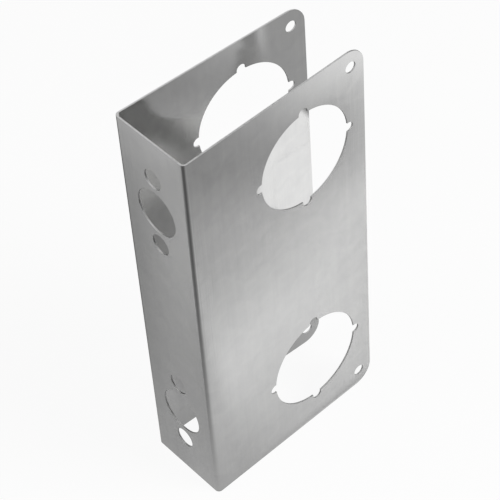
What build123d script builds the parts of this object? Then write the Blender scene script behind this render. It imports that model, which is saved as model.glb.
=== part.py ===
"""Door reinforcer plate: one stainless sheet folded into a channel that wraps a door's edge.

The web covers the door's edge, and a leg lies on each face of the door. Each leg has two
round lock bores, one above the other, with four small notches around each bore, and a screw
hole in each free corner. The web has a latch hole beside each pair of bores, with a screw
clearance hole above and below it.

Frame: millimetres, +Z up along the fold, +X from the web towards the legs' free edges,
Y across the door. The origin is at the centre of the plate's box, at its bottom end.
"""
from build123d import *
from math import cos, radians, sin
import os

# Sheet and folds
plate_height = 228.6
leg_length = 107.95
door_thickness = 44.45
door_clearance = 0.05
sheet_thickness = 0.9
bend_inner_radius = 1.4
toe_in_angle = 1.8
corner_radius = 10.5
edge_break = 0.12

# Lock bores in the legs, placed from the web's outer face and from the plate's middle
bore_diameter = 53.98
bore_setback = 69.85
bore_spacing = 139.7
notch_width = 5.2
notch_depth = 3.2
notch_angles = (0, 90)

# Screw holes in the legs' free corners
corner_hole_diameter = 6.0
corner_hole_edge_inset = 8.3
corner_hole_end_inset = 9.5

# Latch holes in the web, at the height of the lock bores
latch_hole_diameter = 25.4
latch_screw_hole_diameter = 11.0
latch_screw_spacing = 41.3

# Worked out from the sizes above
outer_width = door_thickness + door_clearance + 2 * sheet_thickness
toe_in = radians(toe_in_angle)
mid_height = plate_height / 2
mid_bend_radius = bend_inner_radius + sheet_thickness / 2
cut_depth = 2 * sheet_thickness
length_tolerance = 0.001

# A leg's outer edge at its free end reaches furthest from the web
overall_length = leg_length * cos(toe_in)
web_x = -overall_length / 2

# A leg's middle line starts where it would meet the web's middle line if the fold were sharp
mid_corner_y = outer_width / 2 - sheet_thickness / 2 * (1 + sin(toe_in)) / cos(toe_in)
mid_corner_x = web_x + sheet_thickness / 2


def leg_plane(side):
    """Plane on a leg's outer face, at mid height, its X along the leg from the web.

    side is -1 for the near leg and 1 for the far leg. The plane's Z points out of the channel.
    """
    along = (cos(toe_in), -side * sin(toe_in), 0)
    outward = (sin(toe_in), side * cos(toe_in), 0)
    return Plane(origin=(web_x, side * outer_width / 2, mid_height), x_dir=along, z_dir=outward)


def free_end(side):
    """Point on a leg's middle line at its free end, in the section's plane."""
    point = leg_plane(side).from_local_coords((leg_length, 0, -sheet_thickness / 2))
    return (point.X, point.Y)


# Plane on the web's outer face, at mid height
web_plane = Plane(origin=(web_x, 0, mid_height), x_dir=(0, -1, 0), z_dir=(-1, 0, 0))

# The folded sheet
with BuildPart() as plate:
    with BuildSketch(Plane.XY) as section:
        with BuildLine() as fold_line:
            FilletPolyline(
                free_end(-1),
                (mid_corner_x, -mid_corner_y),
                (mid_corner_x, mid_corner_y),
                free_end(1),
                radius=mid_bend_radius,
            )
        trace(fold_line.line, line_width=sheet_thickness)
    extrude(amount=plate_height)

    # Round corners at the top and bottom of both free edges
    thickness_edges = plate.edges().filter_by(
        lambda edge: abs(edge.length - sheet_thickness) < length_tolerance
    )
    fillet(thickness_edges.sort_by(Axis.X)[-4:], radius=corner_radius)

    # Lock bores with their notches, and the corner screw holes, in both legs
    for side in (-1, 1):
        with BuildSketch(leg_plane(side)) as leg_holes:
            with Locations((bore_setback, -bore_spacing / 2), (bore_setback, bore_spacing / 2)):
                Circle(bore_diameter / 2)
                for angle in notch_angles:
                    SlotOverall(bore_diameter + 2 * notch_depth, notch_width, rotation=angle)
            corner_hole_x = leg_length - corner_hole_edge_inset
            corner_hole_y = mid_height - corner_hole_end_inset
            with Locations((corner_hole_x, -corner_hole_y), (corner_hole_x, corner_hole_y)):
                Circle(corner_hole_diameter / 2)
        extrude(amount=-cut_depth, mode=Mode.SUBTRACT)

    # Latch holes and their screw clearance holes in the web
    with BuildSketch(web_plane) as web_holes:
        with Locations((0, -bore_spacing / 2), (0, bore_spacing / 2)):
            Circle(latch_hole_diameter / 2)
            with GridLocations(0, latch_screw_spacing, 1, 2):
                Circle(latch_screw_hole_diameter / 2)
    extrude(amount=-cut_depth, mode=Mode.SUBTRACT)

    # Deburred edges: all but the folds' full-height seams and the edges across the sheet
    sheet_edges = plate.edges().filter_by(
        lambda edge: abs(edge.length - plate_height) > length_tolerance
        and abs(edge.length - sheet_thickness) > length_tolerance
    )
    chamfer(sheet_edges, length=edge_break)

plate.part.label = "reinforcer_plate"
os.makedirs("parts", exist_ok=True)
export_step(plate.part, "parts/reinforcer_plate.step")
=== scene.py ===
from math import cos, radians, sin

import bmesh
import bpy
import numpy as np
from mathutils import Matrix, Vector


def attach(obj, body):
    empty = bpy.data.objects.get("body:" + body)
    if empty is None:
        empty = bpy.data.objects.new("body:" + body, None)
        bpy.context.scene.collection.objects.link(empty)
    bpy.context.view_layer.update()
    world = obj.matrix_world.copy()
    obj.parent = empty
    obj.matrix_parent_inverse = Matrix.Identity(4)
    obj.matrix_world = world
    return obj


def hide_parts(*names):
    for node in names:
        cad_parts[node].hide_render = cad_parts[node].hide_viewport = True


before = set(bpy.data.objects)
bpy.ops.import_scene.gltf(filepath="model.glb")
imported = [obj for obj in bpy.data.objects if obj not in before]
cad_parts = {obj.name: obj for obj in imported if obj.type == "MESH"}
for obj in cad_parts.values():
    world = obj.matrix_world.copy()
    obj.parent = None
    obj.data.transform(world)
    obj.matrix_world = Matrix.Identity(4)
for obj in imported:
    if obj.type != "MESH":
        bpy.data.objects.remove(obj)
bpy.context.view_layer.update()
scene = bpy.context.scene
print("frame loaded:", sorted(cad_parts))


def linearColour(hexText):
    # sRGB hex to the linear numbers that the shaders take
    values = [int(hexText[i:i + 2], 16) / 255 for i in (0, 2, 4)]
    return [v / 12.92 if v <= 0.04045 else ((v + 0.055) / 1.055) ** 2.4 for v in values] + [1.0]


def addNode(tree, kind, settings=None, inputs=None):
    # adds one node; an input is a number, a colour, or the socket that feeds it
    node = tree.nodes.new(kind)
    for name, value in (settings or {}).items():
        setattr(node, name, value)
    for name, value in (inputs or {}).items():
        if isinstance(value, bpy.types.NodeSocket):
            tree.links.new(value, node.inputs[name])
        else:
            node.inputs[name].default_value = value
    return node


noiseSpan = (0.3, 0.7)          # most of a noise texture's values lie in here


def addNoise(tree, place, size, detail, more=None):
    # noise whose marks are about one size wide, in the units of the place
    return addNode(tree, "ShaderNodeTexNoise", inputs={
        "Vector": place, "Scale": 1 / size, "Detail": detail, **(more or {}),
    }).outputs["Fac"]


def spreadNoise(tree, noise, low, high):
    # takes the noise's usual span to the span from low to high
    return addNode(tree, "ShaderNodeMapRange", inputs={
        "Value": noise, "From Min": noiseSpan[0], "From Max": noiseSpan[1],
        "To Min": low, "To Max": high,
    }).outputs["Result"]


def meanOf(tree, first, second):
    return addNode(tree, "ShaderNodeMix", {"data_type": "FLOAT"}, {
        "Factor": 0.5, "A": first, "B": second,
    }).outputs["Result"]


def mixColours(tree, share, dark, light):
    # from the dark colour to the light one; sockets 6 and 7 of a mix node take its two colours,
    # and its output 2 gives the mixed one
    return addNode(tree, "ShaderNodeMix", {"data_type": "RGBA"}, {
        "Factor": share, 6: linearColour(dark), 7: linearColour(light),
    }).outputs[2]


def addBump(tree, height, distance, under=None):
    # bumps as high as the distance in metres, laid over those of another bump node
    inputs = {"Height": height, "Strength": 1.0, "Distance": distance}
    if under is not None:
        inputs["Normal"] = under
    return addNode(tree, "ShaderNodeBump", inputs=inputs).outputs[0]


# The plate: one stainless sheet, brushed while flat and then folded into a channel

plateShape = {
    "legLength": 0.10795,       # from the web's outer face to the free edge
    "outerWidth": 0.0463,       # across the folds
    "thickness": 0.0009,
    "bendInnerRadius": 0.0014,
    "toeIn": radians(1.8),      # each leg leans in towards the other
    "mergeDistance": 1e-6,
}

# cosines between a face's direction and another one, for the shading
shadingLimits = {
    "onSheet": 0.9,             # to the sheet's own direction, a face along the sheet has more
    "onWall": 0.3,              # and a cut wall has less
    "sameWall": 0.5,            # to the mean of the walls beside it, a face that shares it has more
}


def unrollSheet(points):
    # distance round the sheet from the web's middle, and the sheet's outward direction there;
    # the web is straight, a bend is an arc about its centre, and a leg is straight again
    shape = plateShape
    toeIn = shape["toeIn"]
    middleRadius = shape["bendInnerRadius"] + shape["thickness"] / 2
    turn = radians(90) + toeIn
    cornerY = shape["outerWidth"] / 2 - shape["thickness"] / 2 * (1 + sin(toeIn)) / cos(toeIn)
    flatHalf = cornerY - middleRadius * np.tan(turn / 2)
    centreX = -shape["legLength"] * cos(toeIn) / 2 + shape["thickness"] / 2 + middleRadius
    side = np.where(points[:, 1] < 0, -1.0, 1.0)
    x = points[:, 0] - centreX
    y = np.abs(points[:, 1]) - flatHalf
    alongLeg = x * cos(toeIn) - y * sin(toeIn)
    angle = np.clip(np.arctan2(y, -x), 0, turn)
    onWeb = (y <= 0) & (x < 0)
    onLeg = ~onWeb & (alongLeg > 0)
    distance = flatHalf + middleRadius * angle
    distance = np.where(onWeb, flatHalf + y, distance)
    distance = np.where(onLeg, flatHalf + middleRadius * turn + alongLeg, distance)
    angle = np.where(onWeb, 0, np.where(onLeg, turn, angle))
    outward = np.stack([-np.cos(angle), side * np.sin(angle), np.zeros(len(x))], axis=1)
    return side * distance, outward


def readMesh(items, name, count, width, kind=np.float64):
    values = np.empty(count * width, dtype=kind)
    items.foreach_get(name, values)
    return values.reshape(count, width)


def plateNormals(mesh, points, corners):
    # the shading direction at each face corner: faces along the sheet take the sheet's own direction,
    # cut walls the mean of their neighbours, and the narrow deburred strips turn from one to the
    # other; also tells which faces don't lie along the sheet
    faceCount = len(mesh.polygons)
    faceNormals = readMesh(mesh.polygons, "normal", faceCount, 3)
    centres = readMesh(mesh.polygons, "center", faceCount, 3)
    areas = readMesh(mesh.polygons, "area", faceCount, 1)
    sizes = readMesh(mesh.polygons, "loop_total", faceCount, 1, np.int32)[:, 0]
    cornerFace = np.repeat(np.arange(faceCount), sizes)
    facing = (faceNormals * unrollSheet(centres)[1]).sum(axis=1)
    onSheet = np.abs(facing) > shadingLimits["onSheet"]
    onWall = np.abs(facing) < shadingLimits["onWall"]
    pointOutward = unrollSheet(points)[1]

    onSheetPoint = np.zeros(len(points), dtype=bool)
    onSheetPoint[corners[onSheet[cornerFace]]] = True
    wallSum = np.zeros((len(points), 3))
    wallCorner = onWall[cornerFace]
    np.add.at(wallSum, corners[wallCorner], (faceNormals * areas)[cornerFace[wallCorner]])
    wallLength = np.linalg.norm(wallSum, axis=1, keepdims=True)
    wallSum /= np.where(wallLength > 0, wallLength, 1)

    ownNormal = faceNormals[cornerFace]
    sheetNormal = np.sign(facing)[cornerFace][:, None] * pointOutward[corners]
    wallNormal = wallSum[corners]
    likeWall = (wallNormal * ownNormal).sum(axis=1) > shadingLimits["sameWall"]
    normals = np.where(likeWall[:, None], wallNormal, ownNormal)
    alongSheet = onSheet[cornerFace] | (~wallCorner & onSheetPoint[corners])
    normals = np.where(alongSheet[:, None], sheetNormal, normals)
    return normals, ~onSheet


brushedFinish = {
    "colour": "e4e4e3",
    "darkStreak": "d8d8d8",
    "grainWidth": 0.0007,       # real belt grain is near 0.1 mm; drawn wide enough to show
    "grainLength": 0.045,
    "grainHeight": 0.000012,
    "streakWidth": 0.0035,      # broader streaks, each of many grains
    "streakLength": 0.1125,
    "smudgeSize": 0.009,
    "smudgeSwirl": 0.8,
    "waveSize": 0.055,          # how far apart the sheet's slight hollows lie
    "waveHeight": 0.00012,
    "rippleSize": 0.012,        # small unevenness left by rolling and punching
    "rippleHeight": 0.000008,
    "roughness": (0.08, 0.15),
    "anisotropy": 0.5,
}


def alongGrain(tree, pattern, width, length):
    # the flat pattern's place, counted in widths round the channel and in lengths up the fold
    return addNode(tree, "ShaderNodeMapping", inputs={
        "Vector": pattern, "Scale": (1 / width, 1 / length, 1),
    }).outputs[0]


def brushedStainless():
    # 304 stainless sheet, belt brushed along its height: a grey satin gloss that smears reflections
    # across the grain, with faint streaks and the soft smudges of handling
    finish = brushedFinish
    material = bpy.data.materials.new("brushed stainless sheet")
    material.use_nodes = True
    tree = material.node_tree
    shader = tree.nodes["Principled BSDF"]
    pattern = addNode(tree, "ShaderNodeUVMap", {"uv_map": "flatPattern"}).outputs[0]

    grainPlace = alongGrain(tree, pattern, finish["grainWidth"], finish["grainLength"])
    grain = addNoise(tree, grainPlace, 1.0, 3.0, {"Roughness": 0.6})
    streakPlace = alongGrain(tree, pattern, finish["streakWidth"], finish["streakLength"])
    streak = addNoise(tree, streakPlace, 1.0, 2.0)
    smudge = addNoise(tree, pattern, finish["smudgeSize"], 2.0, {"Distortion": finish["smudgeSwirl"]})
    wave = addNoise(tree, pattern, finish["waveSize"], 0.0)
    ripple = addNoise(tree, pattern, finish["rippleSize"], 1.0)

    mottle = meanOf(tree, meanOf(tree, streak, grain), smudge)
    colour = mixColours(tree, spreadNoise(tree, mottle, 0, 1), finish["darkStreak"], finish["colour"])
    roughness = spreadNoise(tree, mottle, *finish["roughness"])
    waveBump = addBump(tree, wave, finish["waveHeight"])
    rippleBump = addBump(tree, ripple, finish["rippleHeight"], waveBump)
    grainBump = addBump(tree, grain, finish["grainHeight"], rippleBump)
    tangent = addNode(tree, "ShaderNodeTangent", {"direction_type": "RADIAL", "axis": "Z"})

    shader.inputs["Metallic"].default_value = 1.0
    shader.inputs["Anisotropic"].default_value = finish["anisotropy"]
    tree.links.new(colour, shader.inputs["Base Color"])
    tree.links.new(roughness, shader.inputs["Roughness"])
    tree.links.new(grainBump, shader.inputs["Normal"])
    tree.links.new(tangent.outputs[0], shader.inputs["Tangent"])
    return material


edgeFinish = {
    "colour": "d2d2d2",
    "darkMark": "a4a4a4",
    "markSize": 0.0012,
    "roughness": (0.3, 0.5),
}


def shearedEdge():
    # punched and deburred edges of the same steel: bare bright metal, duller and more broken than
    # the faces
    finish = edgeFinish
    material = bpy.data.materials.new("deburred stainless edge")
    material.use_nodes = True
    tree = material.node_tree
    shader = tree.nodes["Principled BSDF"]
    place = addNode(tree, "ShaderNodeTexCoord").outputs["Object"]
    marks = addNoise(tree, place, finish["markSize"], 2.0)
    colour = mixColours(tree, marks, finish["darkMark"], finish["colour"])
    roughness = spreadNoise(tree, marks, *finish["roughness"])
    shader.inputs["Metallic"].default_value = 1.0
    tree.links.new(colour, shader.inputs["Base Color"])
    tree.links.new(roughness, shader.inputs["Roughness"])
    return material


def makePlate():
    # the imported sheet's own surface, with its triangles joined
    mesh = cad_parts["reinforcer_plate"].data.copy()
    mesh.name = "foldedSheet"
    work = bmesh.new()
    work.from_mesh(mesh)
    bmesh.ops.remove_doubles(work, verts=work.verts, dist=plateShape["mergeDistance"])
    bmesh.ops.dissolve_degenerate(work, edges=work.edges, dist=plateShape["mergeDistance"])
    work.to_mesh(mesh)
    work.free()

    points = readMesh(mesh.vertices, "co", len(mesh.vertices), 3)
    corners = readMesh(mesh.loops, "vertex_index", len(mesh.loops), 1, np.int32)[:, 0]
    normals, cutFaces = plateNormals(mesh, points, corners)
    mesh.shade_smooth()
    mesh.normals_split_custom_set(normals.tolist())

    # flat pattern of the sheet in metres: U round the channel, V up the fold
    around = unrollSheet(points)[0]
    pattern = np.stack([around[corners], points[corners, 2]], axis=1)
    for layer in list(mesh.uv_layers):
        mesh.uv_layers.remove(layer)
    flatPattern = mesh.uv_layers.new(name="flatPattern")
    flatPattern.data.foreach_set("uv", pattern.ravel())

    mesh.materials.clear()
    mesh.materials.append(brushedStainless())
    mesh.materials.append(shearedEdge())
    mesh.polygons.foreach_set("material_index", cutFaces.astype(np.int32))

    plate = bpy.data.objects.new("reinforcerPlate", mesh)
    scene.collection.objects.link(plate)
    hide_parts("reinforcer_plate")
    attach(plate, "root")
    print("plate:", len(points), "points,", len(cutFaces), "faces,", int(cutFaces.sum()), "on cut edges")


makePlate()


# The studio: a pale table, a white surround and two soft lamps

studio = {
    "floorSize": 6.0,
    "floorColour": "e8e8e8",
    "floorWhite": 0.92,         # how far the floor's white stands over its own shading
    "whiteFrom": 0.5,           # beyond this distance it turns slowly to the surround's full white
    "whiteFull": 1.6,
    "worldColour": "ffffff",
    "worldLight": 0.35,
    "lampAim": (0, 0, 0.11),    # the middle of the plate
    "keyPlace": (0.55, -0.95, 0.95),
    "keySize": 0.7,
    "keyPower": 14.0,
    "fillPlace": (-1.1, 0.3, 0.9),
    "fillSize": 1.0,
    "fillPower": 4.0,
}


def seenRays(tree):
    # 1 where a camera, mirror or glass ray looks, else 0
    path = addNode(tree, "ShaderNodeLightPath")
    seen = addNode(tree, "ShaderNodeMath", {"operation": "MAXIMUM"}, {
        0: path.outputs["Is Camera Ray"], 1: path.outputs["Is Glossy Ray"],
    })
    return addNode(tree, "ShaderNodeMath", {"operation": "MAXIMUM"}, {
        0: seen.outputs[0], 1: path.outputs["Is Transmission Ray"],
    }).outputs[0]


def makeRectangle(name, reachX, reachY):
    # flat rectangle of two parameters, its middle at the object's origin
    corners = [(-reachX, -reachY, 0), (reachX, -reachY, 0), (reachX, reachY, 0), (-reachX, reachY, 0)]
    mesh = bpy.data.meshes.new(name)
    mesh.from_pydata(corners, [], [(0, 1, 2, 3)])
    holder = bpy.data.objects.new(name, mesh)
    scene.collection.objects.link(holder)
    return holder


def emptyMaterial(name, holder):
    # a material without nodes, laid on the object
    material = bpy.data.materials.new(name)
    material.use_nodes = True
    material.node_tree.nodes.clear()
    holder.data.materials.append(material)
    return material.node_tree


def makeFloor():
    floor = makeRectangle("tableTop", studio["floorSize"] / 2, studio["floorSize"] / 2)
    tree = emptyMaterial("matt white table", floor)
    matt = addNode(tree, "ShaderNodeBsdfDiffuse", inputs={"Color": linearColour(studio["floorColour"])})
    white = addNode(tree, "ShaderNodeEmission", inputs={"Color": (1, 1, 1, 1), "Strength": 1.0})
    away = addNode(tree, "ShaderNodeVectorMath", {"operation": "LENGTH"}, {
        0: addNode(tree, "ShaderNodeTexCoord").outputs["Object"],
    })
    whiteness = addNode(tree, "ShaderNodeMapRange", {"interpolation_type": "SMOOTHSTEP"}, {
        "Value": away.outputs["Value"],
        "From Min": studio["whiteFrom"], "From Max": studio["whiteFull"],
        "To Min": studio["floorWhite"], "To Max": 1.0,
    })
    share = addNode(tree, "ShaderNodeMath", {"operation": "MULTIPLY"}, {
        0: seenRays(tree), 1: whiteness.outputs["Result"],
    })
    mixed = addNode(tree, "ShaderNodeMixShader", inputs={
        0: share.outputs[0], 1: matt.outputs[0], 2: white.outputs[0],
    })
    addNode(tree, "ShaderNodeOutputMaterial", inputs={"Surface": mixed.outputs[0]})


# glowing cards round the plate that only the steel sees: painted reflections, and on the darker cards
# painted shade.
# Sizes are in metres, angles in degrees, and tone 1 is white. A later card lies over an earlier one, and
# the fade is the width over which a card's edge dies away
paintedReflectionCards = {
    # painted reflections for the web and the near fold, from glowing cards on the table at the left and
    # behind
    "sideCard": {"middle": (-0.300, -0.190, 0), "size": (0.49, 0.57), "fade": (0.05, 0.01),
                 "turn": 25, "tone": 0.45},
    "webCard": {"middle": (-0.035, 0.175, 0), "size": (0.37, 0.26), "fade": (0.30, 0.20),
                "turn": -55, "tone": 0.03},
    "foldCard": {"middle": (-0.080, -0.060, 0), "size": (0.14, 0.39), "fade": (0.08, 0.14),
                 "turn": 55, "tone": 0.25},
    # painted reflections on the near leg, from glowing cards on the table in front: grey for its upper
    # half, pale for its lower half and its free corner, and a little greyer again down its free edge
    "frontCard": {"middle": (0.065, -0.300, 0), "size": (0.34, 0.29), "fade": (0.12, 0.10),
                  "turn": 15, "tone": 0.30},
    "legCard": {"middle": (0.030, -0.080, 0), "size": (0.08, 0.16), "fade": (0.13, 0.11),
                "turn": 85, "tone": 0.85},
    "cornerCard": {"middle": (0.235, -0.250, 0), "size": (0.12, 0.10), "fade": (0.01, 0.20),
                   "turn": -100, "tone": 1.0},
    "stripCard": {"middle": (-0.050, -0.120, 0), "size": (0.13, 0.14), "fade": (0.01, 0.20),
                  "turn": 35, "tone": 0.55},
    "footCard": {"middle": (0.105, -0.045, 0), "size": (0.13, 0.04), "fade": (0.03, 0.05),
                 "turn": -43, "tone": 0.65},
    # far to the left: the near fold's dark line, a painted dark reflection
    "darkCard": {"middle": (-0.345, -0.170, 0), "size": (0.41, 0.39), "fade": (0.16, 0.20),
                 "turn": 0, "tone": 0.10},
    # painted reflections seen by the channel's inner sides through the holes, from cards on the table
    # behind and between the legs; the inside card is painted shade on the table within the channel
    "backCard": {"middle": (0.085, 0.115, 0), "size": (0.22, 0.17), "fade": (0.05, 0.02),
                 "turn": 0, "tone": 0.35},
    "latchCard": {"middle": (0.035, 0.075, 0), "size": (0.04, 0.04), "fade": (0.02, 0.02),
                  "turn": 0, "tone": 0.30},
    "arcCard": {"middle": (0.065, 0.075, 0), "size": (0.02, 0.03), "fade": (0.01, 0.01),
                "turn": 0, "tone": 0.95},
    "insideCard": {"middle": (0.025, -0.005, 0), "size": (0.10, 0.03), "fade": (0.02, 0.01),
                   "turn": 0, "tone": 0.30},
    # upright at the channel's mouth, mirrored by the far leg's inner side: the grey cards paint shade
    # into the channel, the white ones paint bright reflections
    "upperGapCard": {"middle": (0.058, 0.003, 0.195), "size": (0.044, 0.09), "fade": (0.001, 0.006),
                     "turn": 90, "tilt": 90, "tone": 0.38},
    "lowerGapCard": {"middle": (0.058, 0.003, 0.037), "size": (0.044, 0.04), "fade": (0.001, 0.004),
                     "turn": 90, "tilt": 90, "tone": 0.35},
    "whiteGapCard": {"middle": (0.064, -0.017, 0.100), "size": (0.036, 0.07), "fade": (0.003, 0.003),
                     "turn": 0, "tilt": 90, "tone": 1.0},
    "outerGapCard": {"middle": (0.080, -0.017, 0.065), "size": (0.046, 0.06), "fade": (0.003, 0.003),
                     "turn": 0, "tilt": 90, "tone": 1.0},
    # above and behind, mirrored by the upper edge of the near leg beside the fold: a painted reflection
    "rimCard": {"middle": (0.015, 0.030, 0.295), "size": (0.08, 0.04), "fade": (0.01, 0.01),
                "turn": 0, "tilt": 90, "tone": 0.45},
}
cardStep = 0.0001               # height of one card over the last


def makeCard(name, height):
    # a card's cover is the product of two smooth steps, which fall from 1 to 0 across its faded edges
    card = paintedReflectionCards[name]
    reach = [(size + fade) / 2 for size, fade in zip(card["size"], card["fade"])]
    holder = makeRectangle(name, *reach)
    turn = Matrix.Rotation(radians(card["turn"]), 4, "Z")
    tilt = Matrix.Rotation(radians(card.get("tilt", 0)), 4, "X")
    place = Matrix.Translation(Vector(card["middle"]) + Vector((0, 0, height)))
    holder.matrix_world = place @ turn @ tilt
    tree = emptyMaterial(name + " paintedReflection", holder)
    position = addNode(tree, "ShaderNodeSeparateXYZ", inputs={
        0: addNode(tree, "ShaderNodeTexCoord").outputs["Object"],
    })
    covers = []
    for axis in (0, 1):
        distance = addNode(tree, "ShaderNodeMath", {"operation": "ABSOLUTE"}, {
            0: position.outputs[axis],
        })
        covers.append(addNode(tree, "ShaderNodeMapRange", {"interpolation_type": "SMOOTHSTEP"}, {
            "Value": distance.outputs[0],
            "From Min": reach[axis], "From Max": reach[axis] - card["fade"][axis],
        }).outputs["Result"])
    cover = addNode(tree, "ShaderNodeMath", {"operation": "MULTIPLY"}, {0: covers[0], 1: covers[1]})
    clear = addNode(tree, "ShaderNodeBsdfTransparent")
    # the card glows at its tone and only the steel sees it: a painted reflection, and where the card is
    # dark, painted shade
    grey = addNode(tree, "ShaderNodeEmission", inputs={"Strength": card["tone"]})
    mixed = addNode(tree, "ShaderNodeMixShader", inputs={
        0: cover.outputs[0], 1: clear.outputs[0], 2: grey.outputs[0],
    })
    addNode(tree, "ShaderNodeOutputMaterial", inputs={"Surface": mixed.outputs[0]})
    holder.visible_camera = False
    holder.visible_diffuse = False
    holder.visible_shadow = False
    holder.visible_transmission = False


def makeWorld():
    world = bpy.data.worlds.new("white surround")
    world.use_nodes = True
    tree = world.node_tree
    tree.nodes.clear()
    light = addNode(tree, "ShaderNodeBackground", inputs={
        "Color": linearColour(studio["worldColour"]), "Strength": studio["worldLight"],
    })
    white = addNode(tree, "ShaderNodeBackground", inputs={"Color": (1, 1, 1, 1), "Strength": 1.0})
    mixed = addNode(tree, "ShaderNodeMixShader", inputs={
        0: seenRays(tree), 1: light.outputs[0], 2: white.outputs[0],
    })
    addNode(tree, "ShaderNodeOutputWorld", inputs={"Surface": mixed.outputs[0]})
    scene.world = world


def lookAt(place, aim):
    # stands at a place and faces another one, held level
    turn = (Vector(aim) - Vector(place)).to_track_quat("-Z", "Y")
    return Matrix.Translation(place) @ turn.to_matrix().to_4x4()


def makeLamp(name, place, size, power):
    # square soft lamp that faces the middle of the plate
    lamp = bpy.data.lights.new(name, "AREA")
    lamp.size = size
    lamp.energy = power
    holder = bpy.data.objects.new(name, lamp)
    holder.matrix_world = lookAt(place, studio["lampAim"])
    holder.visible_glossy = False
    scene.collection.objects.link(holder)


cameraView = {
    "place": (-0.4252, -0.5336, 0.8480),
    "aim": (0.0036, 0.0089, 0.1100),
    "roll": -4.63,              # degrees, about the line of sight
    "lens": 151.7,              # millimetres, as is the sensor's width
    "sensorWidth": 36.0,
    "clipStart": 0.05,
}


def makeCamera():
    data = bpy.data.cameras.new("photoView")
    data.sensor_fit = "HORIZONTAL"
    data.sensor_width = cameraView["sensorWidth"]
    data.lens = cameraView["lens"]
    data.clip_start = cameraView["clipStart"]
    camera = bpy.data.objects.new("photoView", data)
    roll = Matrix.Rotation(radians(cameraView["roll"]), 4, "Z")
    camera.matrix_world = lookAt(cameraView["place"], cameraView["aim"]) @ roll
    scene.collection.objects.link(camera)
    scene.camera = camera


makeFloor()
for layer, cardName in enumerate(paintedReflectionCards):
    makeCard(cardName, (layer + 1) * cardStep)
makeWorld()
makeLamp("keySoftbox", studio["keyPlace"], studio["keySize"], studio["keyPower"])
makeLamp("fillSoftbox", studio["fillPlace"], studio["fillSize"], studio["fillPower"])
makeCamera()
scene.view_settings.view_transform = "Standard"
print("studio: table, surround, two lamps and camera")
